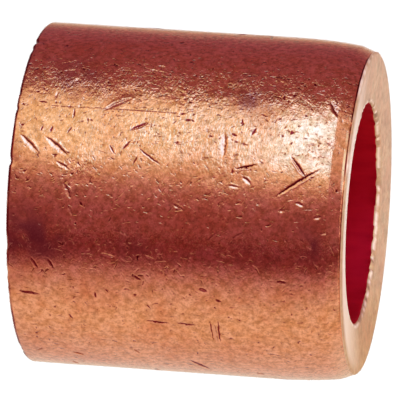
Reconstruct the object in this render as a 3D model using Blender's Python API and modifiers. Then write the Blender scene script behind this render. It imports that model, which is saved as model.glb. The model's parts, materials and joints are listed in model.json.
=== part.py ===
"""Copper flush reducing bushing, 3/4 x 1/2 in nominal: one solid turned body.

The axis lies along X, as the fitting lies on a bench. The tube socket opens
towards -X. The lead-in end, which enters the larger fitting, faces +X. The
origin is the middle of the axis.
"""

import math

import bpy

MM = 0.001

# Driving dimensions, in millimetres
OUTER_RADIUS = 11.1  # slides into a 3/4 in solder cup
BODY_LENGTH = 21.4
BORE_RADIUS = 7.2  # the waterway, and the inner edge of the tube stop
SOCKET_RADIUS = 8.0  # takes 1/2 in nominal tube, 15.9 mm outside
SOCKET_DEPTH = 14.0  # from the socket's mouth to the tube stop

# The lead-in end: a long shallow shoulder, a crease, then a rounded nose
SHOULDER_LENGTH = 4.4
CREASE_RADIUS = 10.955
NOSE_LENGTH = 1.53
NOSE_TURN = 10.0  # degrees
FACE_RADIUS = 10.6  # outer edge of the end face
FACE_FLAT_WIDTH = 0.6  # flat ring outside the dish
DISH_DEPTH = 0.3  # how far the bore's mouth lies behind the flat ring
MOUTH_BREAK = 0.1  # edge break at the bore's mouth

# The socket end
SOCKET_END_ROUND = 0.35
SOCKET_MOUTH_CHAMFER = 0.35

SEGMENTS = 32  # facets round the axis; the part rests on one of them

COPPER_COLOUR = (0.62, 0.24, 0.13, 1.0)
COPPER_ROUGHNESS = 0.35

HALF_LENGTH = BODY_LENGTH / 2


def arc(start, end, turn, steps):
    """Points after start up to end, on an arc that turns through turn degrees."""
    half = math.radians(turn) / 2
    radius = math.dist(start, end) / (2 * math.sin(half))
    heading = math.atan2(end[1] - start[1], end[0] - start[0]) - half
    points = []
    for step in range(1, steps + 1):
        angle = heading + 2 * half * step / steps
        across = start[0] + radius * (math.sin(angle) - math.sin(heading))
        along = start[1] - radius * (math.cos(angle) - math.cos(heading))
        points.append((across, along))
    return points


def outer_side():
    """(radius, height) down the outside, from the lead-in face to the socket end."""
    nose = (FACE_RADIUS, HALF_LENGTH)
    crease = (CREASE_RADIUS, HALF_LENGTH - NOSE_LENGTH)
    full = (OUTER_RADIUS, crease[1] - SHOULDER_LENGTH)
    drop = OUTER_RADIUS - CREASE_RADIUS
    shoulder_turn = -2 * math.degrees(math.atan2(drop, SHOULDER_LENGTH))
    wall_end = (OUTER_RADIUS, SOCKET_END_ROUND - HALF_LENGTH)
    end_face = (OUTER_RADIUS - SOCKET_END_ROUND, -HALF_LENGTH)
    points = [nose]
    points += arc(nose, crease, -NOSE_TURN, 4)
    points += arc(crease, full, shoulder_turn, 4)
    points.append(wall_end)
    points += arc(wall_end, end_face, -90, 4)
    return points


def inner_side():
    """(radius, height) up the inside, from the socket's mouth to the flat ring."""
    stop_height = SOCKET_DEPTH - HALF_LENGTH
    mouth_height = HALF_LENGTH - DISH_DEPTH
    return [
        (SOCKET_RADIUS + SOCKET_MOUTH_CHAMFER, -HALF_LENGTH),
        (SOCKET_RADIUS, SOCKET_MOUTH_CHAMFER - HALF_LENGTH),
        (SOCKET_RADIUS, stop_height),
        (BORE_RADIUS, stop_height),
        (BORE_RADIUS, mouth_height - MOUTH_BREAK),
        (BORE_RADIUS + MOUTH_BREAK, mouth_height),
        (FACE_RADIUS - FACE_FLAT_WIDTH, HALF_LENGTH),
    ]


def profile_mesh(name):
    """A closed wire of the half section, in the XZ plane with the axis on Z."""
    section = outer_side() + inner_side()
    vertices = [(radius * MM, 0.0, height * MM) for radius, height in section]
    count = len(vertices)
    edges = [(i, (i + 1) % count) for i in range(count)]
    mesh = bpy.data.meshes.new(name)
    mesh.from_pydata(vertices, edges, [])
    return mesh


def turned(name, collection):
    """The half section turned about its Z axis, then laid along X on a facet."""
    piece = bpy.data.objects.new(name, profile_mesh(name))
    collection.objects.link(piece)
    screw = piece.modifiers.new("turn", "SCREW")
    screw.axis = "Z"
    screw.angle = math.tau
    screw.steps = SEGMENTS
    screw.render_steps = SEGMENTS
    screw.merge_threshold = 0.000001
    screw.use_merge_vertices = True
    screw.use_smooth_shade = True
    half_facet = math.pi / SEGMENTS
    piece.rotation_mode = "YXZ"  # over onto X first, then round X by half a facet
    piece.rotation_euler = (half_facet, math.pi / 2, 0.0)
    return piece


def copper():
    """Bright wrought copper."""
    material = bpy.data.materials.new("copper")
    material.use_nodes = True
    shader = material.node_tree.nodes["Principled BSDF"]
    shader.inputs["Base Color"].default_value = COPPER_COLOUR
    shader.inputs["Metallic"].default_value = 1.0
    shader.inputs["Roughness"].default_value = COPPER_ROUGHNESS
    return material


def clear_scene():
    for thing in list(bpy.data.objects):
        bpy.data.objects.remove(thing)


def build():
    clear_scene()
    collection = bpy.data.collections.new("flush_reducing_bushing")
    bpy.context.scene.collection.children.link(collection)
    body = turned("reducer_body", collection)
    body.data.materials.append(copper())


build()
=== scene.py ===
"""Looks of the copper flush reducing bushing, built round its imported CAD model.

One dense turned mesh stands for the CAD body: the rounded lead-in end with its
crease and turned-up rim, the dished cut face, the bore, tube stop and socket,
and the nicks and scratches of a tumbled fitting. The fitting is worked out in
millimetres, and the studio and the camera in metres. Angles round the axis run
from the top towards the front.
"""

import json
import math

import bmesh
import bpy
import numpy as np
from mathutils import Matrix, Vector


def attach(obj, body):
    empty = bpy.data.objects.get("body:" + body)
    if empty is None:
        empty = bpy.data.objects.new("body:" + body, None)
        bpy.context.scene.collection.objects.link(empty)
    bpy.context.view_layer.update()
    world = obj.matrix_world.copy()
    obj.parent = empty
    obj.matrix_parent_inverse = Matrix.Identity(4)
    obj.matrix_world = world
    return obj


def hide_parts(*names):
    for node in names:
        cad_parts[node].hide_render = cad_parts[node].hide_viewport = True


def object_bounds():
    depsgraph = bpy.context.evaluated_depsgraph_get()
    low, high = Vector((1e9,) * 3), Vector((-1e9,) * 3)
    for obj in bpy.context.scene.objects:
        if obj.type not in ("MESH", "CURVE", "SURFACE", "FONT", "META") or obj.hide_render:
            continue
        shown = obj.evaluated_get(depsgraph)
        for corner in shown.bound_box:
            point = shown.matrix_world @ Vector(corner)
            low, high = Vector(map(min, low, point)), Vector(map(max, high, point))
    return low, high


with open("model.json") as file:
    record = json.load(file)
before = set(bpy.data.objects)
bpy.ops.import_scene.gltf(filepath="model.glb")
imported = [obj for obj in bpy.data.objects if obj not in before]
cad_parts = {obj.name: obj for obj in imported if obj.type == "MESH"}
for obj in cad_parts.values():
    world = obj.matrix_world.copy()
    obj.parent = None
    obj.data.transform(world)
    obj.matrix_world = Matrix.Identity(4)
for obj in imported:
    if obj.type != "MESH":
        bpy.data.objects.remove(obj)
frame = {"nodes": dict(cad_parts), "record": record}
cad_low, cad_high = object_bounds()

MM = 0.001
NODE = "reducer_body"

# What the CAD model says
cad_points = np.array([v.co[:] for v in frame["nodes"][NODE].data.vertices]) / MM
cad_radii = np.hypot(cad_points[:, 1], cad_points[:, 2])
mounts = {m["name"]: m["pos_m"] for m in frame["record"]["mounts"]}
OUTER_RADIUS = float(cad_radii.max())  # at the corners of its facets
BORE_RADIUS = float(cad_radii.min())
SOCKET_END = float(cad_points[:, 0].min())
LEAD_IN_END = float(cad_points[:, 0].max())
TUBE_STOP = mounts["tube_stop"][0] / MM

# The lead-in end: a long shoulder, a crease, a short nose, and the rim of the face
CREASE = LEAD_IN_END - 1.0
CREASE_DROP = 0.29  # below the outer radius
SHOULDER_START = CREASE - 4.9
SHOULDER_POWER = 2.5
NOSE_SLOPE, NOSE_BEND = 0.38, 0.04  # at the crease, and added to it by the rim
GROOVE = LEAD_IN_END - 0.17
GROOVE_WIDTH, GROOVE_DEPTH = 0.04, 0.01
RIM_DROP = 0.64  # below the outer radius
RIM_BURR = 0.07  # how far the cutter turned the rim up, at its worst
RIM_BREAK_LENGTH, RIM_BREAK_WIDTH = 0.1, 0.11  # along the axis, and towards it
FLAT_RING = 0.6  # width of the flat outside the dish
DISH_DEPTH = 0.28
MOUTH_BREAK = 0.13
MOUTH_BURR_INWARD, MOUTH_BURR_OUTWARD = 0.08, 0.07  # into the bore, and off the face
MOUTH_LEAN = 0.13  # how much deeper the mouth lies at the back, at its worst

# The socket end
SOCKET_RADIUS = 8.0
SOCKET_SWELL = 0.05  # how much the wall widens from the shoulder to this end
SOCKET_END_ROUND = 0.22
MOUTH_CHAMFER = 0.35
CHIP_DEPTH = 0.2
OUT_OF_SQUARE = 0.14  # how much further out the top of the end was cut
SLANT_REACH = 3.0  # how far along the wall that slant fades out

# Mesh density
COLUMNS = 340
ROW_STEP = 0.21
FINE_CUTS = 3  # in each quad round a nick
FINE_MARGIN = 0.14
SHARP_ANGLE = 50.0  # degrees; edges that bend more than this stay sharp

SKIN, FACE, BORE = range(3)


# ---------------------------------------------------------------- the section


def stations(start, end, step):
    """Values from start towards end about a step apart, without the end."""
    count = max(1, round(abs(end - start) / step))
    return [start + (end - start) * i / count for i in range(count)]


def skin_radius(x):
    """Radius of the perfect outside at x, from the socket end to the crease."""
    into_round = np.clip(SOCKET_END + SOCKET_END_ROUND - x, 0.0, SOCKET_END_ROUND)
    into_shoulder = np.clip((x - SHOULDER_START) / (CREASE - SHOULDER_START), 0.0, 1.0)
    to_end = np.clip((SHOULDER_START - x) / (SHOULDER_START - SOCKET_END), 0.0, 1.0)
    radius = OUTER_RADIUS + SOCKET_SWELL * to_end
    radius -= CREASE_DROP * into_shoulder**SHOULDER_POWER
    return radius - SOCKET_END_ROUND + np.sqrt(SOCKET_END_ROUND**2 - into_round**2)


def outside():
    """(x, radius, zone) of the rings along the outside, socket end to groove."""
    rings = []
    for turn in stations(math.pi / 2, 0.0, math.pi / 12):
        x = SOCKET_END + SOCKET_END_ROUND * (1 - math.sin(turn))
        radius = OUTER_RADIUS - SOCKET_END_ROUND * (1 - math.cos(turn))
        rings.append((x, radius, SKIN))
    wall = stations(SOCKET_END + SOCKET_END_ROUND, CREASE, ROW_STEP)
    for x in [*wall, CREASE - 0.04]:
        rings.append((x, float(skin_radius(np.array([x]))[0]), SKIN))
    nose = GROOVE - CREASE
    for t in stations(0.0, 1.0, 1 / 12):
        drop = CREASE_DROP + nose * (NOSE_SLOPE * t + NOSE_BEND * t * t / 2)
        rings.append((CREASE + nose * t, OUTER_RADIUS - drop, SKIN))
    rim = OUTER_RADIUS - RIM_DROP
    rings.append((GROOVE, rim - GROOVE_DEPTH, SKIN))
    rings.append((GROOVE + GROOVE_WIDTH, rim - GROOVE_DEPTH, SKIN))
    return rings


def lead_in_face():
    """The flat ring, the dish and the bore's mouth."""
    rim = OUTER_RADIUS - RIM_DROP
    rings = [(LEAD_IN_END - RIM_BREAK_LENGTH, rim, FACE)]
    rings.append((LEAD_IN_END, rim - RIM_BREAK_WIDTH, FACE))
    flat_edge = rim - FLAT_RING
    for radius in stations(rim - 0.2, flat_edge, 0.15):
        rings.append((LEAD_IN_END, radius, FACE))
    mouth = BORE_RADIUS + MOUTH_BREAK
    for radius in stations(flat_edge, mouth, 0.2):
        into_dish = (flat_edge - radius) / (flat_edge - mouth)
        rings.append((LEAD_IN_END - DISH_DEPTH * into_dish, radius, FACE))
    rings.append((LEAD_IN_END - DISH_DEPTH, mouth, FACE))
    return rings


def inside():
    """The bore, the tube stop and the socket, back to the socket's mouth."""
    mouth_x = LEAD_IN_END - DISH_DEPTH - MOUTH_BREAK
    wall = SOCKET_END + MOUTH_CHAMFER
    rings = [(mouth_x, BORE_RADIUS, BORE)]
    rings += [(x, BORE_RADIUS, BORE) for x in stations(mouth_x - 0.25, TUBE_STOP, 0.5)]
    rings.append((TUBE_STOP + 0.06, BORE_RADIUS, BORE))
    rings.append((TUBE_STOP, BORE_RADIUS + 0.06, BORE))
    rings.append((TUBE_STOP, SOCKET_RADIUS - 0.08, BORE))
    rings += [(x, SOCKET_RADIUS, BORE) for x in stations(TUBE_STOP - 0.08, wall, 0.8)]
    rings.append((wall, SOCKET_RADIUS, FACE))
    return rings


def socket_face():
    """The flat annulus at the socket's mouth."""
    edge = OUTER_RADIUS - SOCKET_END_ROUND
    inner = SOCKET_RADIUS + MOUTH_CHAMFER
    return [(SOCKET_END, radius, FACE) for radius in stations(inner, edge, 0.3)]


# ------------------------------------------------------------ wear and tumbling

# Nicks: the x and the degrees round of the end nearer the socket end, then of the
# other end, and the width. A bright nick's open wall faces the light overhead and
# gets a painted highlight; a dark one's faces away from it and gets painted shade.
BRIGHT_NICKS = [
    (-5.2, 40.3, -3.5, 34.6, 0.36),
    (-8.6, 51, -7.0, 57.3, 0.38),
    (-10.2, 50.7, -8.9, 56.8, 0.36),
    (-7.75, 59, -6.8, 61.6, 0.22),
    (-7.15, 65.7, -6.6, 71, 0.34),
    (-6.8, 73, -6.4, 76.6, 0.22),
    (-7.75, 32.5, -7.5, 29.6, 0.26),
    (-7.5, 29.6, -7.1, 28.5, 0.24),
    (-8.35, 37, -8.3, 34, 0.16),
    (-8.9, 22.4, -7.3, 18.9, 0.16),
    (-8.4, 25.3, -7.4, 24.1, 0.14),
    (-3.3, 21, -1.6, 23, 0.16),
    (-2.6, 19.2, -1.7, 20, 0.14),
    (2.75, 45.2, 2.85, 54, 0.46),
    (4.2, 60, 4.8, 62.4, 0.26),
    (3.3, 63.2, 4.1, 63.6, 0.18),
    (9.05, 29.3, 9.9, 36.8, 0.5),
    (-3.8, 80, -2.5, 82.2, 0.14),
    (-0.1, 70.4, 0.65, 72.3, 0.22),
    (-4.6, 88.4, -3.7, 89.2, 0.24),
    (-0.45, 94.4, -0.25, 90.6, 0.18),
    (-1.75, 88, -1.1, 89.2, 0.18),
    (6.7, 70.5, 7.0, 69.9, 0.24),
    (7.65, 67.2, 8.2, 68.3, 0.24),
    (8.85, 72, 9.35, 71.4, 0.26),
    (9.3, 77.2, 9.9, 76.1, 0.26),
    (7.05, 78.9, 7.25, 80.5, 0.20),
    (2.2, 82, 2.9, 78.3, 0.14),
    (3.8, 80.4, 4.5, 78.1, 0.14),
    (3.05, 85.7, 3.45, 87, 0.18),
    (8.5, 81.4, 8.9, 82.1, 0.22),
    (2.5, 112.5, 2.6, 122, 0.4),
]
DARK_NICKS = [
    (-3.3, 46.9, -2.1, 43.5, 0.28),
    (-3.6, 53.8, -3.1, 50.4, 0.18),
    (-2.6, 52.8, -1.0, 58.2, 0.14),
    (-8.3, 49.4, -8.2, 47.2, 0.18),
    (-7.0, 40, -7.0, 44, 0.14),
    (-7.25, 49.4, -6.95, 46.9, 0.14),
    (-8.9, 49.2, -8.8, 47.2, 0.14),
    (-4.4, 52.3, -4.1, 55.2, 0.14),
    (-2.8, 58.6, -2.55, 55.3, 0.14),
    (3.2, 45.5, 3.6, 46.4, 0.16),
    (4.5, 46, 4.7, 43, 0.18),
    (3.7, 57.7, 5.1, 55.8, 0.22),
    (7.15, 52, 8.2, 58.8, 0.26),
    (6.3, 66, 9.1, 55.2, 0.26),
    (-9.1, 91, -8.6, 95, 0.16),
    (-8.0, 91, -7.6, 94.6, 0.18),
    (-2.5, 95, -2.0, 96.6, 0.16),
    (-10.0, 104, -8.6, 104.7, 0.20),
    (-5.0, 102.3, -5.0, 104.8, 0.18),
    (-1.9, 113, -0.3, 113.7, 0.19),
    (0.05, 113.2, 1.4, 113.7, 0.17),
    (6.65, 93.8, 7.3, 94, 0.18),
    (1.7, 98.2, 2.25, 99.2, 0.24),
    (2.75, 102, 3.1, 102.8, 0.18),
    (2.3, 111, 2.4, 121, 0.14),
    (2.8, 111, 2.8, 121.5, 0.16),
    (7.85, 119.9, 8.0, 118.2, 0.24),
    (-10.2, 39.7, 1.2, 39.3, 0.07),
]
RANDOM_NICKS = 60
NICK_DEPTH = 0.055
NICK_BOTTOM = 0.14  # where across it the bottom lies, with the edges at -0.5 and 0.5
LIP_MIDDLE, LIP_WIDTH, LIP_HEIGHT = 0.66, 0.18, 0.4  # the metal pushed up beside it
WIDE_NICK = 0.2
STEEP_WALL_SWAPS = 36  # degrees round at which a nick's steep wall changes sides

# The unevenness of the whole skin: height, cell size and seed
TUMBLING = [(0.010, 4.5, 11), (0.004, 1.3, 12), (0.002, 0.6, 13)]

# Darker tarnish: x, degrees round, radius, strength
TARNISH = [
    (-9.4, 83, 1.6, 0.8),
    (-7.9, 87, 1.2, 0.5),
    (-2.5, 86, 1.2, 0.4),
    (5.2, 84, 1.2, 0.3),
    (8.7, 80, 1.1, 0.9),
    (-7.5, 27, 2.0, 0.6),
    (4.0, 33, 1.2, 0.8),
    (-1.0, 200, 2.5, 0.8),
    (6.0, 290, 2.0, 0.7),
]

NOISE_ROWS = 400  # along the axis, before the noise repeats
NOISE_ORIGIN = 150  # the row at the middle of the fitting


def lattice_noise(along, around, cell, seed):
    """Smooth noise from -1 to 1 on the unrolled skin, joined up round the axis."""
    turns = max(3, round(2 * math.pi * OUTER_RADIUS / cell))
    values = np.random.default_rng(seed).uniform(-1, 1, (NOISE_ROWS, turns))
    u = along / cell + NOISE_ORIGIN
    v = (around / (2 * math.pi)) % 1.0 * turns
    i, j = np.floor(u).astype(int), np.floor(v).astype(int)
    s, t = u - i, v - j
    s, t = s * s * (3 - 2 * s), t * t * (3 - 2 * t)
    i, j, j_next = i % NOISE_ROWS, j % turns, (j + 1) % turns
    low = values[i, j] * (1 - t) + values[i, j_next] * t
    i = (i + 1) % NOISE_ROWS
    high = values[i, j] * (1 - t) + values[i, j_next] * t
    return low * (1 - s) + high * s


def round_noise(around, cell, seed):
    """The same noise round the axis only, for an edge."""
    return lattice_noise(np.zeros_like(around), around, cell, seed)


def ragged_edge(around):
    """The unevenness with which an edge was cut, from about -1.5 to 1.5."""
    return round_noise(around, 0.8, 25) + 0.5 * round_noise(around, 0.3, 26)


def arc_mask(degrees, middle, reach, fade):
    """1 near the middle of an arc, falling over fade degrees to 0 at its reach."""
    return np.clip((reach - np.abs(degrees - middle)) / fade, 0, 1)


def from_ends(start_x, start_degrees, end_x, end_degrees, width):
    """A nick between two places: its middle, length, heading in degrees, and width."""
    middle = ((start_x + end_x) / 2, (start_degrees + end_degrees) / 2)
    dx, arc = end_x - start_x, math.radians(end_degrees - start_degrees) * OUTER_RADIUS
    return (*middle, math.hypot(dx, arc), math.degrees(math.atan2(arc, dx)), width)


def all_nicks():
    """The chosen nicks, and a seeded scatter of others round the rest of the skin.

    Each gets the side of its steep wall, +1 towards greater angles, and how its
    open wall is painted, from painted shade at -1 to a painted highlight at 1.
    """
    rng = np.random.default_rng(7)
    bright = [from_ends(*ends) for ends in BRIGHT_NICKS]
    dark = [from_ends(*ends) for ends in DARK_NICKS]
    nicks = [(*nick, -1 if nick[1] > STEEP_WALL_SWAPS else 1, 1) for nick in bright]
    nicks += [(*nick, 1 if nick[1] > STEEP_WALL_SWAPS else -1, -1) for nick in dark]
    for _ in range(RANDOM_NICKS):
        x = rng.uniform(SOCKET_END + 0.8, CREASE - 0.4)
        degrees, heading = rng.uniform(130, 350), rng.uniform(-90, 90)
        length, width = rng.uniform(0.5, 2.0), rng.uniform(0.14, 0.34)
        steep, look = rng.choice((-1, 1), 2)
        nicks.append((x, degrees, length, heading, width, steep, look))
    return nicks


def unrolled(x, around, centre_x, degrees):
    """Millimetres along the axis and round it from a place on the skin."""
    turn = (around - math.radians(degrees) + math.pi) % (2 * math.pi) - math.pi
    return x - centre_x, turn * OUTER_RADIUS


def across_nick(x, around, nick):
    """Millimetres along and across a nick from its middle."""
    centre_x, degrees, length, heading = nick[:4]
    dx, arc = unrolled(x, around, centre_x, degrees)
    ch, sh = math.cos(math.radians(heading)), math.sin(math.radians(heading))
    along, across = dx * ch + arc * sh, arc * ch - dx * sh
    bow = 0.05 * math.sin(7 * centre_x + degrees) * min(1.0, 2 / length) ** 2
    wobble = 0.012 * np.sin(9 * along + degrees) + 0.008 * np.sin(23 * along)
    return along, across - bow * along**2 - wobble


def nick_shape(x, around, nicks):
    """How far the nicks lift the skin, and how they are painted, from painted shade at -1 to a
    painted highlight at 1.
    """
    lift, wall = np.zeros_like(x), np.zeros_like(x)
    for nick in nicks:
        length, width, steep, look = nick[2], *nick[4:]
        along, across = across_nick(x, around, nick)
        run = np.clip(1 - (2 * along / length) ** 2, 0, 1) ** 0.7
        side = steep * across / (width * (0.1 + 0.9 * run))
        gentle = np.clip((side + 0.5) / (0.5 + NICK_BOTTOM), 0, 1)
        sheer = np.clip((0.5 - side) / (0.5 - NICK_BOTTOM), 0, 1)
        trench = np.minimum(gentle, sheer) * run
        lip = np.exp(-(((side - LIP_MIDDLE) / LIP_WIDTH) ** 2)) * run
        lift += min(NICK_DEPTH, width / 4) * (LIP_HEIGHT * lip - trench)
        # Painted shade and highlight on the walls: the open wall takes the nick's look; the far
        # wall gets a painted highlight in a wide dark nick and painted shade otherwise.
        far_wall = 0.7 if look < 0 and width > WIDE_NICK else -0.6
        wall += np.clip(3 * trench, 0, 1) * np.where(side < NICK_BOTTOM, look, far_wall)
        # A dark nick's lip gets a painted highlight.
        wall += lip * (look < 0)  # a dark nick's lip catches the light
    return lift, np.clip(wall, -1, 1)


def near_nicks(x, around, nicks):
    """A mask of the places that need the finer mesh."""
    near = np.zeros(x.shape, bool)
    for nick in nicks:
        along, across = across_nick(x, around, nick)
        in_run = np.abs(along) < nick[2] / 2 + FINE_MARGIN
        near |= in_run & (np.abs(across) < nick[4] / 2 + FINE_MARGIN)
    return near


def tumbling(x, around):
    """The gentle unevenness of the whole skin, and the chips of its back edge."""
    lift = sum(height * lattice_noise(x, around, cell, seed) for height, cell, seed in TUMBLING)
    from_end = np.clip((x - SOCKET_END) / 0.9, 0, 1)
    return lift * from_end - CHIP_DEPTH * chipped(x, around)


def chipped(x, around):
    """How deep the chips of the back edge are, from 0 to 1."""
    from_end = np.clip((x - SOCKET_END) / 0.7, 0, 1)
    chips = round_noise(around, 1.9, 31) + 0.6 * round_noise(around, 0.45, 32)
    more_on_top = np.clip(0.4 + 0.7 * np.cos(around), 0.3, 1)
    return np.clip(chips - 0.5, 0, 1) * more_on_top * (1 - from_end) ** 1.2


def tarnish(x, around):
    """How dark the tarnish is, from 0 to 1, and darker still towards the socket end."""
    amount = np.zeros_like(x)
    for centre_x, degrees, radius, strength in TARNISH:
        dx, arc = unrolled(x, around, centre_x, degrees)
        amount += strength * np.exp(-(dx**2 + arc**2) / radius**2)
    # Darker towards the socket end.
    amount += 0.35 * np.exp((SOCKET_END - x) / 0.7)
    ragged = 0.7 + 0.7 * lattice_noise(x, around, 0.6, 41)
    return np.clip(amount * ragged, 0, 1)


def crest_highlight_and_paler_bottom(x, radius, around):
    """How pale the nose is, from 0 to 1: a painted highlight along its crest, and paler over its
    bottom towards the face.
    """
    degrees = np.degrees(around)
    crest = (x > GROOVE - 0.2) & (x < GROOVE - 0.02) & (radius > OUTER_RADIUS - RIM_DROP - 0.1)
    # A painted highlight along the crest.
    cut = crest * arc_mask(degrees, 48, 16, 4) * np.clip(0.6 + ragged_edge(around), 0, 1)
    at_bottom = arc_mask(degrees % 360, 175, 60, 25)
    towards_face = np.clip((x - CREASE + 0.3) / 1.1 + 0.2 * lattice_noise(x, around, 0.7, 53), 0, 1)
    return cut + 0.3 * at_bottom * towards_face


def pecked(x, around):
    """How hard the skin was pecked, from 0 to 1: most of all a little in front of the top."""
    degrees = np.degrees((around + math.pi) % (2 * math.pi) - math.pi)
    band = np.exp(-(((degrees - 26) / 9) ** 2))
    patches = np.clip(lattice_noise(x, around, 3.0, 51) - 0.3, 0, 0.6)
    ragged = 0.8 + 0.6 * lattice_noise(x, around, 0.7, 52)
    return np.clip((band + patches) * ragged, 0, 1)


# -------------------------------------------------------------------- the mesh


def ring_mesh(rings):
    """A bmesh of quads round the closed section."""
    bm = bmesh.new()
    angles = [2 * math.pi * c / COLUMNS for c in range(COLUMNS)]
    rows = []
    for x, radius, _ in rings:
        spots = [(x, -radius * math.sin(a), radius * math.cos(a)) for a in angles]
        rows.append([bm.verts.new(spot) for spot in spots])
    for r, (_, _, zone) in enumerate(rings):
        low, high = rows[r], rows[(r + 1) % len(rings)]
        for c in range(COLUMNS):
            d = (c + 1) % COLUMNS
            face = bm.faces.new((low[c], low[d], high[d], high[c]))
            face.material_index = zone
            face.smooth = True
    return bm


def polar(points):
    """Distance from the axis, and angle from the top towards the front."""
    return np.hypot(points[:, 1], points[:, 2]), np.arctan2(-points[:, 1], points[:, 2])


def on_skin(points, radius):
    """A mask of the points on the long outer wall, short of the crease."""
    return (points[:, 0] < CREASE - 0.02) & (radius > OUTER_RADIUS - 0.36)


def refine(bm, nicks):
    """Cuts the quads round each nick finer."""
    bm.faces.ensure_lookup_table()
    centres = np.array([f.calc_center_median()[:] for f in bm.faces])
    radius, around = polar(centres)
    wanted = on_skin(centres, radius) & near_nicks(centres[:, 0], around, nicks)
    edges = {e for i in np.flatnonzero(wanted) for e in bm.faces[i].edges}
    bmesh.ops.subdivide_edges(bm, edges=list(edges), cuts=FINE_CUTS, use_grid_fill=True)


def rough_mouth(x, radius, around):
    """The bore's mouth as the cut left it: a jagged burr, and deeper at the back."""
    at_mouth = np.abs(radius - BORE_RADIUS - MOUTH_BREAK / 2) < 0.1
    at_mouth &= np.abs(x - LEAD_IN_END + DISH_DEPTH + MOUTH_BREAK / 2) < 0.12
    jag = round_noise(around, 0.4, 21) + 0.6 * round_noise(around, 1.7, 22)
    jag = jag * np.clip(0.5 - 0.7 * np.sin(around), 0, 1)
    radius = radius - at_mouth * MOUTH_BURR_INWARD * np.clip(jag + 0.3, 0, 1.4)
    burr = MOUTH_BURR_OUTWARD * np.clip(jag, -0.6, 1.2)
    lean = MOUTH_LEAN * np.clip(-np.sin(around + 0.2), 0, 1)
    return x + at_mouth * (burr - lean), radius


def rough_rim(x, radius, around):
    """The rim as the cutter turned it up, most of all at the top."""
    at_rim = (x > GROOVE + 0.03) & (radius > OUTER_RADIUS - RIM_DROP - 0.06)
    ragged = 0.6 + 0.5 * round_noise(around, 1.1, 23) + 0.3 * round_noise(around, 0.4, 24)
    burr = RIM_BURR * np.clip(ragged * (0.55 + 0.45 * np.cos(around)), 0, 1)
    return radius + at_rim * burr


def rim_painted_light(x, radius, around):
    """The groove's painted shade and the rim's painted highlight and shade, from -1 to 1, as a
    nick is.
    """
    degrees, ragged = np.degrees(around), ragged_edge(around)
    at_top = arc_mask(degrees, 12, 48, 6)
    far_low = arc_mask(degrees, -160, 22, 6)
    outer = radius > OUTER_RADIUS - RIM_DROP - 0.12
    groove = outer & (x > GROOVE - 0.03) & (x < GROOVE + 0.06)
    rim = outer & (x > GROOVE + 0.06)
    look = -1.0 * groove * np.clip(0.7 + 0.5 * ragged, 0, 1) * at_top
    look += rim * at_top * np.clip(0.3 + 0.6 * ragged, 0, 1)
    return look - rim * far_low * np.clip(0.7 + 0.5 * ragged, 0, 1)


def dish_painted_reflection(x, radius, around):
    """How bright the painted reflection on the dish is, from 0 to 1: only on the near side of
    the face.
    """
    at_front = np.clip(1.25 * np.cos(around - math.radians(85)), 0, 1)
    inner = radius <= OUTER_RADIUS - RIM_DROP - 0.12
    dish = inner & (x > LEAD_IN_END - DISH_DEPTH - 0.02)
    return dish * at_front * np.clip((OUTER_RADIUS - RIM_DROP - radius) / 0.7, 0, 0.95)


def mouth_painted_light(x, radius, around):
    """The painted highlight and painted shade on the burr of the bore's mouth, as a nick is."""
    degrees = np.degrees(around)
    mouth = (np.abs(radius - BORE_RADIUS - MOUTH_BREAK) < 0.03) & (x > TUBE_STOP + 1)
    near = arc_mask(degrees, 25, 40, 6)
    far = arc_mask(degrees, -125, 32, 8)
    burr = 0.35 + 0.7 * near + 0.4 * far + 0.6 * ragged_edge(around)
    burr += 1.1 * round_noise(around, 0.4, 27)
    return mouth * np.clip(burr, -0.6, 1)


def back_edge_painted_shade(x, radius, around):
    """The painted shade along the chipped back edge, from -1 to 0."""
    back = (x < SOCKET_END + 0.17) & (radius > OUTER_RADIUS - 0.25)
    return -1.0 * back * np.clip(0.8 + 0.5 * ragged_edge(around), 0, 1)


def paint(bm, name, values):
    """Gives every vertex its value under this name, for the materials to read."""
    layer = bm.verts.layers.float.new(name)
    for v, value in zip(bm.verts, values):
        v[layer] = value


def place(bm, nicks):
    """Moves every vertex from the perfect turned shape to the real one, in metres."""
    points = np.array([v.co[:] for v in bm.verts])
    radius, around = polar(points)
    skin = on_skin(points, radius)
    x, real = rough_mouth(points[:, 0], radius, around)
    real = rough_rim(x, real, around)
    lift, wall = nick_shape(x[skin], around[skin], nicks)
    real[skin] = skin_radius(x[skin]) + tumbling(x[skin], around[skin]) + lift
    look = rim_painted_light(x, radius, around) + dish_painted_reflection(x, radius, around)
    look += back_edge_painted_shade(x, radius, around) + mouth_painted_light(x, radius, around)
    look[skin] += wall
    # The nick attribute: painted highlight above 0 and painted shade below 0, from the nicks'
    # walls and lips, the groove, the rim, the dish, the bore's mouth and the back edge.
    paint(bm, "nick", np.clip(look, -1, 1))
    paint(bm, "tarnish", tarnish(x, around))
    paint(bm, "pecked", pecked(x, around))
    # The cut attribute: a painted cream highlight along the nose's crest, and paler over the
    # nose's bottom.
    paint(bm, "cut", crest_highlight_and_paler_bottom(x, radius, around))
    x[skin] += CHIP_DEPTH * chipped(x[skin], around[skin])
    near_end = np.clip(1 - (x - SOCKET_END) / SLANT_REACH, 0, 1)
    x = x - OUT_OF_SQUARE * near_end * np.clip(np.cos(around), 0, 1)
    for v, along, out, turn in zip(bm.verts, x * MM, real * MM, around):
        v.co = (along, -out * math.sin(turn), out * math.cos(turn))


def reducer():
    """The whole fitting as one mesh object."""
    nicks = all_nicks()
    bm = ring_mesh(outside() + lead_in_face() + inside() + socket_face())
    refine(bm, nicks)
    place(bm, nicks)
    if bm.calc_volume(signed=True) < 0:
        bmesh.ops.reverse_faces(bm, faces=bm.faces)
    mesh = bpy.data.meshes.new("copper_reducer")
    bm.to_mesh(mesh)
    bm.free()
    mesh.set_sharp_from_angle(angle=math.radians(SHARP_ANGLE))
    piece = bpy.data.objects.new("copper_reducer", mesh)
    bpy.context.scene.collection.objects.link(piece)
    return piece


# ------------------------------------------------------------------- materials


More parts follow.
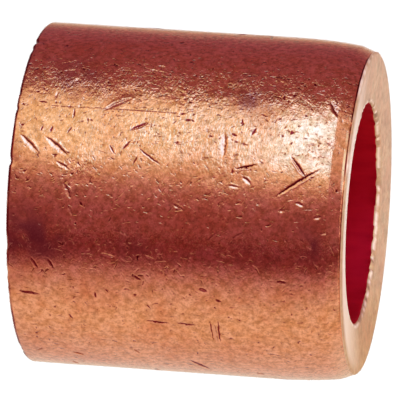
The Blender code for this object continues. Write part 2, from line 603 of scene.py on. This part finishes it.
class Nodes:
    """Short calls for building a material's node tree."""

    def __init__(self, name):
        self.material = bpy.data.materials.new(name)
        self.material.use_nodes = True
        self.tree = self.material.node_tree
        self.shader = self.tree.nodes["Principled BSDF"]

    def add(self, kind, **inputs):
        """A new node, with its inputs given by name and _ for a space."""
        node = self.tree.nodes.new(kind)
        for name, value in inputs.items():
            self.feed(node.inputs[name.replace("_", " ")], value)
        return node

    def feed(self, socket, value):
        """Links another node's output to a socket, or sets its value."""
        if isinstance(value, bpy.types.NodeSocket):
            self.tree.links.new(value, socket)
        else:
            socket.default_value = value

    def millimetres(self, stretch=(1, 1, 1)):
        """Object coordinates in millimetres, stretched."""
        scale = self.add("ShaderNodeVectorMath")
        scale.operation = "MULTIPLY"
        self.feed(scale.inputs[0], self.add("ShaderNodeTexCoord").outputs["Object"])
        scale.inputs[1].default_value = [s / MM for s in stretch]
        return scale.outputs[0]

    def noise(self, scale, detail=2.0, rough=0.5, stretch=(1, 1, 1)):
        """Noise from 0 to 1 with about scale spots to the millimetre."""
        where = self.millimetres(stretch)
        node = self.add("ShaderNodeTexNoise", Vector=where, Scale=scale)
        self.feed(node.inputs["Detail"], detail)
        self.feed(node.inputs["Roughness"], rough)
        return node.outputs["Fac"]

    def attribute(self, name):
        """The value that paint gave the vertices under this name."""
        node = self.add("ShaderNodeAttribute")
        node.attribute_name = name
        return node.outputs["Fac"]

    def ramp(self, value, *stops):
        """A colour ramp over (place, colour) stops; a number stands for a grey."""
        node = self.add("ShaderNodeValToRGB", Fac=value)
        elements = node.color_ramp.elements
        while len(elements) < len(stops):
            elements.new(0.5)
        for element, (spot, colour) in zip(elements, stops):
            element.position = spot
            grey = isinstance(colour, (int, float))
            element.color = (colour, colour, colour, 1) if grey else (*colour, 1)
        return node.outputs["Color"]

    def mix(self, factor, first, second, blend="MIX"):
        """Two colours mixed; a mix node's colour sockets are inputs 6 and 7, output 2."""
        node = self.add("ShaderNodeMix")
        node.data_type = "RGBA"
        node.blend_type = blend
        self.feed(node.inputs[0], factor)
        for socket, value in ((node.inputs[6], first), (node.inputs[7], second)):
            self.feed(socket, (*value, 1) if isinstance(value, tuple) else value)
        return node.outputs[2]

    def maths(self, operation, first, second):
        """One operation on two values."""
        node = self.add("ShaderNodeMath")
        node.operation = operation
        self.feed(node.inputs[0], first)
        self.feed(node.inputs[1], second)
        return node.outputs[0]

    def bump(self, height, distance, normal=None):
        """A normal bent by a height of up to distance millimetres, or sunk if it is negative."""
        node = self.add("ShaderNodeBump", Height=height, Distance=distance * MM)
        if normal is not None:
            self.feed(node.inputs["Normal"], normal)
        return node.outputs["Normal"]


COPPER = (0.68, 0.235, 0.098)
COPPER_PINK = (0.80, 0.32, 0.18)
CUT_PALE, CUT_WARM = (0.71, 0.485, 0.30), (0.64, 0.36, 0.23)
# Cream of the painted highlight along the nose's crest, also mixed thinly over the nose's bottom
NOSE_CREAM = (0.95, 0.68, 0.45)
COPPER_RED = (0.62, 0.16, 0.065)
COPPER_PURPLE = (0.32, 0.09, 0.075)
# Fresh copper in the nicks, painted as a highlight on their bright walls
FRESH_COPPER_HIGHLIGHT = (0.64, 0.24, 0.145)
# Red in the deepest pecks, and painted shade on the nicks' dark walls
PIT_RED_AND_NICK_SHADE = (0.18, 0.006, 0.008)
# Painted highlight and painted shade for the cut face's rim, dish, mouth and back edge
FACE_PAINTED_HIGHLIGHT, FACE_PAINTED_SHADE = (0.98, 0.80, 0.70), (0.16, 0.08, 0.07)
# The bore's colour, painted deep red for the shade and the light bounced between its copper
# walls
BORE_SHADE_DEEP, BORE_SHADE_LIGHTER = (0.58, 0.007, 0.028), (0.68, 0.012, 0.036)

PECK_TURNS = (0, 65, 125)  # the ways the pecks lie, in degrees round the Y axis
PECK_STRETCH = (0.45, 1, 1)


def pecks(n):
    """How deep the tiny pecks are, from 0 to 1, whichever way they lie."""
    height = None
    more = n.maths("MULTIPLY", n.attribute("pecked"), 0.07)
    for turn in PECK_TURNS:
        where = n.add("ShaderNodeVectorRotate", Vector=n.millimetres())
        where.rotation_type = "Y_AXIS"
        where.inputs["Angle"].default_value = math.radians(turn)
        long = n.add("ShaderNodeVectorMath")
        long.operation = "MULTIPLY"
        n.feed(long.inputs[0], where.outputs[0])
        long.inputs[1].default_value = PECK_STRETCH
        spots = n.add("ShaderNodeTexNoise", Vector=long.outputs[0], Scale=4.0, Detail=1.0)
        spots.inputs["Distortion"].default_value = 0.5
        found = n.maths("ADD", spots.outputs["Fac"], more)
        found = n.ramp(found, (0.67, 0.0), (0.82, 1.0))
        height = found if height is None else n.maths("MAXIMUM", height, found)
    return height


def skin_material():
    """Tumbled copper: mottled and grained, with tarnish, pecks and dents, painted highlight and
    painted shade on the nicks, groove, rim and back edge, and cream along the nose's crest as a
    painted highlight.
    """
    n = Nodes("tumbled_copper")
    mottle = n.noise(1.7, 4, 0.7)
    colour = n.mix(n.ramp(mottle, (0.36, 0.0), (0.64, 1.0)), COPPER, COPPER_PINK)
    patches = n.noise(0.28, 5, 0.65)
    colour = n.mix(n.ramp(patches, (0.48, 0.0), (0.7, 0.7)), colour, COPPER_RED)
    grain = n.noise(3.4, 3, 0.75)
    colour = n.mix(1.0, colour, n.ramp(grain, (0.32, 0.61), (0.6, 1.0)), "MULTIPLY")
    colour = n.mix(n.attribute("tarnish"), colour, COPPER_PURPLE)
    # Cream: a painted highlight along the nose's crest, and paler over its bottom.
    colour = n.mix(n.attribute("cut"), colour, NOSE_CREAM)
    depth = pecks(n)
    colour = n.mix(n.ramp(depth, (0.3, 0.0), (0.9, 1.0)), colour, PIT_RED_AND_NICK_SHADE)
    # The nick attribute: painted highlight where above 0 and painted shade where below 0, on the
    # nicks, the groove, the rim and the back edge.
    nick = n.attribute("nick")
    colour = n.mix(n.ramp(nick, (0.1, 0.0), (1.0, 0.85)), colour, FRESH_COPPER_HIGHLIGHT)
    steep = n.maths("MULTIPLY", nick, -1.0)
    colour = n.mix(n.ramp(steep, (0.1, 0.0), (0.7, 1.0)), colour, PIT_RED_AND_NICK_SHADE)
    n.feed(n.shader.inputs["Base Color"], colour)
    n.shader.inputs["Metallic"].default_value = 1.0
    rough = n.maths("MULTIPLY", n.attribute("pecked"), 0.09)
    rough = n.maths("ADD", rough, n.ramp(patches, (0.3, 0.11), (0.7, 0.17)))
    n.feed(n.shader.inputs["Roughness"], rough)
    fine = n.bump(n.noise(5.5, 3, 0.6, stretch=(1.8, 1, 1)), 0.014)
    dents = n.maths("MULTIPLY", n.noise(2.6, 2, 0.6, stretch=(1.8, 1, 1)), n.attribute("pecked"))
    dented = n.bump(dents, 0.10, fine)
    n.feed(n.shader.inputs["Normal"], n.bump(depth, -0.02, dented))
    return n.material


def face_material():
    """The cut ends: pale, matt, grained and blotched, with painted highlight and painted shade
    on the rim, dish, mouth and back edge.
    """
    n = Nodes("cut_copper")
    grain = n.noise(2.5, 4, 0.6)
    colour = n.mix(n.ramp(grain, (0.35, 0.0), (0.7, 1.0)), CUT_PALE, CUT_WARM)
    patches = n.noise(0.35, 3, 0.6)
    colour = n.mix(n.ramp(patches, (0.45, 0.0), (0.65, 0.7)), colour, CUT_WARM)
    blotches = n.noise(1.1, 4, 0.75)
    colour = n.mix(1.0, colour, n.ramp(blotches, (0.36, 0.86), (0.6, 1.1)), "MULTIPLY")
    # Painted highlight where the nick attribute is above 0, and painted shade where it is below
    # 0: on the rim, the dish, the bore's mouth and the back edge.
    bright = n.ramp(n.attribute("nick"), (0.1, 0.0), (0.9, 1.0))
    colour = n.mix(bright, colour, FACE_PAINTED_HIGHLIGHT)
    painted_shade = n.ramp(n.maths("MULTIPLY", n.attribute("nick"), -1.0), (0.0, 0.0), (1.0, 1.0))
    colour = n.mix(painted_shade, colour, FACE_PAINTED_SHADE)
    n.feed(n.shader.inputs["Base Color"], colour)
    n.shader.inputs["Metallic"].default_value = 1.0
    n.feed(n.shader.inputs["Roughness"], n.ramp(grain, (0.3, 0.5), (0.7, 0.62)))
    n.feed(n.shader.inputs["Normal"], n.bump(n.noise(4.0, 3, 0.6), 0.012))
    return n.material


def bore_material():
    """The copper inside: matt, with faint streaks along it, and painted deep red for its shade
    and the light bounced between its copper walls.
    """
    n = Nodes("bore_copper_painted_shade")
    streaks = n.noise(1.5, 3, 0.6, stretch=(0.25, 1, 1))
    colour = n.mix(n.ramp(streaks, (0.35, 0.0), (0.7, 1.0)), BORE_SHADE_DEEP, BORE_SHADE_LIGHTER)
    n.feed(n.shader.inputs["Base Color"], colour)
    n.shader.inputs["Metallic"].default_value = 1.0
    n.feed(n.shader.inputs["Roughness"], n.ramp(streaks, (0.3, 0.62), (0.7, 0.7)))
    n.feed(n.shader.inputs["Normal"], n.bump(n.noise(2.5, 3, 0.6), 0.01))
    return n.material


# ----------------------------------------------------------------- the studio

# The tent is half a cylinder of glowing cloth over the fitting, and the apron is a
# glowing sheet on the floor. Only reflections see them. Their sizes are in metres.
TENT_RADIUS = 0.15
TENT_FROM, TENT_TO = -100, 94  # degrees from overhead towards the front
TENT_LENGTH = 0.5
TENT_PANEL = 2  # degrees
CLOTH_WHITE = 7.0  # the brightest that the tent's cloth can be
END_CLOTH = 1.6  # the white cloth across the right end of the tent
APRON_LIFT = 0.0002  # above the floor

# How bright the tent is: (degrees from overhead towards the front, brightness)
TENT_BACK = [(-100, 1.0), (-86, 0.5), (-74, 0.2), (-60, 0.17)]
TENT_LEFT = TENT_BACK + [
    (-30, 0.18),
    (-14, 0.2),
    (-3, 0.22),
    (2, 1.2),
    (5, 2.0),
    (15, 2.3),
    (33, 2.25),
    (42, 1.8),
    (49, 1.15),
    (58, 0.58),
    (68, 0.32),
    (78, 0.20),
    (94, 0.19),
]
TENT_MIDDLE = TENT_BACK + [
    (-20, 0.19),
    (-2, 0.22),
    (5, 1.6),
    (10, 4.0),
    (41, 4.0),
    (47, 2.2),
    (53, 1.3),
    (60, 0.52),
    (68, 0.28),
    (80, 0.19),
]
TENT_RIGHT = TENT_BACK + [
    (-20, 0.2),
    (-9, 0.27),
    (-2, 1.1),
    (36, 1.1),
    (44, 0.8),
    (53, 0.42),
    (61, 0.35),
    (69, 0.25),
    (94, 0.3),
]
LEFT_TO_MIDDLE, MIDDLE_TO_RIGHT = (-18, -8), (50, 56)  # millimetres along X

# How bright the floor looks from the copper: (millimetres in front, brightness)
APRON = [
    # Dimmer under and behind the fitting: a painted shadow of the fitting on the floor.
    (-14, 0.7),
    (0, 0.75),
    (5, 0.9),
    (8, 1.05),
    (11, 1.2),
    (13, 1.25),
    (17, 1.1),
    (21, 0.82),
    (26, 0.55),
    (34, 0.25),
    (40, 0.1),
    (150, 0.09),
]

# Where the cloth turns warm, from its own colour to WARM_TINT
WARM_TINT = (1.0, 0.95, 0.6)
TENT_WARMS = (-60, -85)  # degrees
APRON_WARMS = (8, 0)  # millimetres in front

ROOM_PLUM = (0.30, 0.12, 0.18, 1)
WHITE, BLACK = (1, 1, 1, 1), (0, 0, 0, 1)
FLOOR_WHITE = (0.9, 0.9, 0.9, 1)
FLOOR_HALF = 3  # metres
FILL_STRENGTH = 0.1
WASH_STRENGTH = 3.4


def cloth(brightness):
    """The colour of cloth that bright: the dimmer, the redder and the more purple."""
    dim = min(brightness, 1.0)
    extra = max(brightness, 1.0)
    green = dim**1.1 * extra ** (0.32 + 0.167 * extra)
    blue = dim**0.86 * extra ** (0.5 * extra - 0.62)
    colour = (dim**0.54 * extra**0.4, green, blue)
    return tuple(c / CLOTH_WHITE for c in colour)


def over(n, value, stretch):
    """0 at the start of a stretch of value, 1 at its end, and even between."""
    start, end = stretch
    amount = n.add("ShaderNodeMapRange", Value=value, From_Min=start, From_Max=end)
    return amount.outputs["Result"]


def cloth_ramp(n, value, low, high, stops):
    """A colour ramp of cloth over value, which runs from low to high."""
    fitted = [((spot - low) / (high - low), cloth(level)) for spot, level in stops]
    return n.ramp(over(n, value, (low, high)), *fitted)


def glowing(n, colour, strength):
    """A material that gives off that colour and reflects nothing."""
    n.shader.inputs["Base Color"].default_value = BLACK
    n.shader.inputs["Specular IOR Level"].default_value = 0.0
    n.feed(n.shader.inputs["Emission Color"], colour)
    n.shader.inputs["Emission Strength"].default_value = strength
    return n.material


def warmer(n, colour, value, stretch):
    """The colour with less and less blue over a stretch of value."""
    return n.mix(over(n, value, stretch), colour, WARM_TINT, "MULTIPLY")


def tent_material():
    """Dark plum cloth with a bright band overhead: wide left, hot middle, dim right."""
    n = Nodes("tent_cloth")
    spot = n.add("ShaderNodeSeparateXYZ", Vector=n.millimetres()).outputs
    front = n.maths("MULTIPLY", spot["Y"], -1.0)
    turn = n.maths("ARCTAN2", front, spot["Z"])
    degrees = n.maths("MULTIPLY", turn, 180 / math.pi)
    parts = (TENT_LEFT, TENT_MIDDLE, TENT_RIGHT)
    left, middle, right = (cloth_ramp(n, degrees, TENT_FROM, TENT_TO, p) for p in parts)
    colour = n.mix(over(n, spot["X"], LEFT_TO_MIDDLE), left, middle)
    colour = n.mix(over(n, spot["X"], MIDDLE_TO_RIGHT), colour, right)
    colour = warmer(n, colour, degrees, TENT_WARMS)
    return glowing(n, colour, CLOTH_WHITE)


def apron_material():
    """The floor as the copper sees it: a painted shadow under the fitting, brightest a little in
    front, dark further off.
    """
    n = Nodes("apron_cloth")
    spot = n.add("ShaderNodeSeparateXYZ", Vector=n.millimetres()).outputs
    front = n.maths("MULTIPLY", spot["Y"], -1.0)
    colour = cloth_ramp(n, front, APRON[0][0], APRON[-1][0], APRON)
    colour = warmer(n, colour, front, APRON_WARMS)
    return glowing(n, colour, CLOTH_WHITE)


def floor_material():
    """Plain, pale and matt."""
    n = Nodes("pale_floor")
    n.shader.inputs["Base Color"].default_value = FLOOR_WHITE
    n.shader.inputs["Roughness"].default_value = 0.9
    n.shader.inputs["Specular IOR Level"].default_value = 0.1
    return n.material


def sheet(name, corners, faces, material):
    """A piece of the studio from its corners in metres."""
    mesh = bpy.data.meshes.new(name)
    mesh.from_pydata(corners, [], faces)
    mesh.materials.append(material)
    piece = bpy.data.objects.new(name, mesh)
    bpy.context.scene.collection.objects.link(piece)
    return piece


def extruded(name, outline, half_length, material):
    """A sheet with an outline in Y and Z, drawn out along X, in metres."""
    corners = [(side * half_length, y, z) for y, z in outline for side in (-1, 1)]
    faces = [(2 * i, 2 * i + 1, 2 * i + 3, 2 * i + 2) for i in range(len(outline) - 1)]
    return sheet(name, corners, faces, material)


def end_cloth():
    """A white cloth that closes the tent's right end."""
    x, half, low = TENT_LENGTH / 2, TENT_RADIUS, cad_low.z
    corners = [(x, -half, low), (x, half, low), (x, half, half), (x, -half, half)]
    material = glowing(Nodes("end_cloth"), WHITE, END_CLOTH)
    return sheet("end_cloth", corners, [(0, 1, 2, 3)], material)


def only_in_reflections(piece):
    """Hides a piece from the camera, from diffuse light and from shadows."""
    piece.visible_camera = False
    piece.visible_diffuse = False
    piece.visible_shadow = False


def tent():
    """The tent, the apron and the end cloth."""
    turns = [math.radians(t) for t in range(TENT_FROM, TENT_TO + 1, TENT_PANEL)]
    arch = [(-TENT_RADIUS * math.sin(t), TENT_RADIUS * math.cos(t)) for t in turns]
    only_in_reflections(extruded("tent", arch, TENT_LENGTH / 2, tent_material()))
    back, front = APRON[0][0], APRON[-1][0]
    level = cad_low.z + APRON_LIFT
    outline = [(-back * MM, level), (-front * MM, level)]
    only_in_reflections(extruded("apron", outline, TENT_LENGTH / 2, apron_material()))
    only_in_reflections(end_cloth())


def background(tree, colour, strength):
    """A new background shader for the world."""
    shader = tree.nodes.new("ShaderNodeBackground")
    shader.inputs["Color"].default_value = colour
    shader.inputs["Strength"].default_value = strength
    return shader


def studio_world():
    """White to the camera, plum in reflections, and a faint white to all else."""
    world = bpy.data.worlds.new("studio")
    world.use_nodes = True
    tree = world.node_tree
    tree.nodes.remove(tree.nodes["Background"])
    path = tree.nodes.new("ShaderNodeLightPath")

    def for_rays(kind, others, these):
        """These for rays of that kind, and the others for the rest."""
        choice = tree.nodes.new("ShaderNodeMixShader")
        tree.links.new(path.outputs[kind], choice.inputs[0])
        tree.links.new(others.outputs[0], choice.inputs[1])
        tree.links.new(these.outputs[0], choice.inputs[2])
        return choice

    fill = background(tree, WHITE, FILL_STRENGTH)
    light = for_rays("Is Glossy Ray", fill, background(tree, ROOM_PLUM, 1.0))
    seen = for_rays("Is Camera Ray", light, background(tree, WHITE, 1.0))
    tree.links.new(seen.outputs[0], tree.nodes["World Output"].inputs["Surface"])
    bpy.context.scene.world = world


def wash():
    """An even light from overhead that whitens the whole floor."""
    light = bpy.data.lights.new("wash", "SUN")
    light.energy = WASH_STRENGTH
    light.use_shadow = False
    lamp = bpy.data.objects.new("wash", light)
    lamp.visible_glossy = False
    bpy.context.scene.collection.objects.link(lamp)


def studio():
    """The floor, the tent, the light and the world."""
    outline = [(-FLOOR_HALF, cad_low.z), (FLOOR_HALF, cad_low.z)]
    extruded("floor", outline, FLOOR_HALF, floor_material())
    tent()
    wash()
    studio_world()


# Where the camera stands, and what it looks at, in degrees and metres
CAMERA_TURN, CAMERA_LEAN = 11.0, 20.5
CAMERA_DISTANCE = 0.2786
LENS, SENSOR_WIDTH = 384.7, 36  # millimetres
AIM = Vector((-0.00035, 0.0, 0.00015))


def direction(turn, lean):
    """A unit vector turn degrees from -Y towards +X, and lean degrees above level."""
    a, e = math.radians(turn), math.radians(lean)
    return Vector((math.sin(a) * math.cos(e), -math.cos(a) * math.cos(e), math.sin(e)))


def camera():
    """The scene's camera, at the photograph's viewing angle."""
    data = bpy.data.cameras.new("camera")
    data.lens = LENS
    data.sensor_width = SENSOR_WIDTH
    data.clip_start, data.clip_end = 0.01, 10
    eye = bpy.data.objects.new("camera", data)
    back = direction(CAMERA_TURN, CAMERA_LEAN)
    eye.location = AIM + back * CAMERA_DISTANCE
    eye.rotation_euler = (-back).to_track_quat("-Z", "Y").to_euler()
    bpy.context.scene.collection.objects.link(eye)
    bpy.context.scene.camera = eye


# --------------------------------------------------------------------- build

camera()
studio()
bpy.context.scene.view_settings.view_transform = "Standard"

fitting = reducer()
for material in (skin_material(), face_material(), bore_material()):
    fitting.data.materials.append(material)
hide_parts(NODE)
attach(fitting, "root")
fitting.visible_diffuse = False  # so that no copper glow falls on the floor
